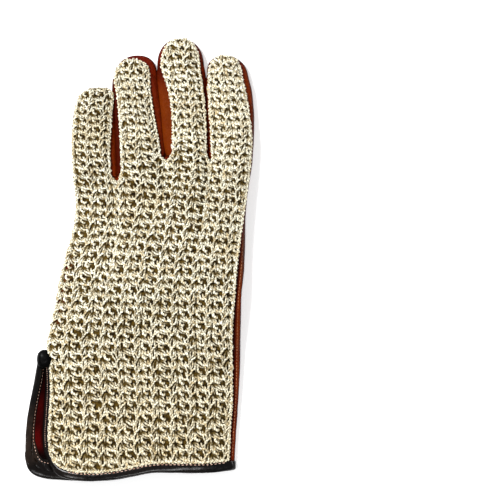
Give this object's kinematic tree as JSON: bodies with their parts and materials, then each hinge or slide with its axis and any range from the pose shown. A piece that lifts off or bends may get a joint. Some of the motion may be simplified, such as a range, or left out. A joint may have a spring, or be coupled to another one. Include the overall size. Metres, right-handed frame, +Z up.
{
  "type": "driving glove",
  "caption": "Left-hand driving glove lying flat: crocheted cotton back, leather palm and finger forks, thumb folded under the palm, dark bound cuff with a side vent.",
  "frame": {"origin": "middle of the glove's footprint, on the surface that it lies on", "axes": "+Z up out of the back of the hand, +Y towards the fingertips, +X towards the index finger's side"},
  "size_m": [0.1276, 0.2484, 0.0208],
  "materials": {
    "crochet": "cream mercerised cotton crochet with open stitches",
    "tan_leather": "smooth red-brown glove leather, lightly creased",
    "dark_leather": "glossy near-black bound edge"
  },
  "bodies": {
    "root": {"crochet_back": "crochet", "leather_palm": "tan_leather", "fork_little_ring": "tan_leather", "fork_ring_middle": "tan_leather", "fork_middle_index": "tan_leather", "thumb": "tan_leather", "cuff_binding": "dark_leather"}
  },
  "joints": []
}
